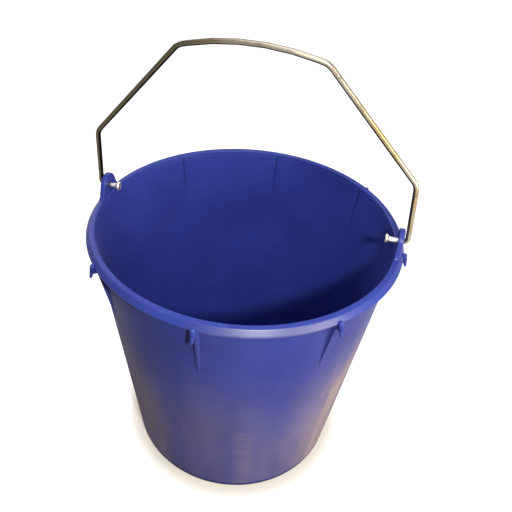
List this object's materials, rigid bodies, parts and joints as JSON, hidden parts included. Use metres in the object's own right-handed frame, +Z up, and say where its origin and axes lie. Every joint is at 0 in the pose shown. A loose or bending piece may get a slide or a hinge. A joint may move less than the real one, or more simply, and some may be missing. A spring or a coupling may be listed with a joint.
{
  "type": "mortar bucket",
  "caption": "Round tapered builder's bucket with a flared rim, ribbed pegs round its edge and upright ears that carry a swinging bent-wire bail.",
  "frame": {"origin": "centre of the foot ring, on the ground", "axes": "+Z up the bucket's axis, X through the two ears along the bail's pivot, -Y to the front"},
  "size_m": [0.309, 0.309, 0.4481],
  "materials": {
    "moulding": "satin moulded polyethylene, lightly scuffed",
    "wire": "zinc-plated drawn wire with a faint yellow tint"
  },
  "bodies": {
    "bucket": {"bucket": "moulding"},
    "bail": {"bail": "wire"}
  },
  "joints": [
    {"name": "bail_swing", "type": "hinge", "parent": "bucket", "child": "bail", "pos_m": [0, 0, 0.2795], "axis": [1, 0, 0], "range_deg": [-99, 87]}
  ]
}
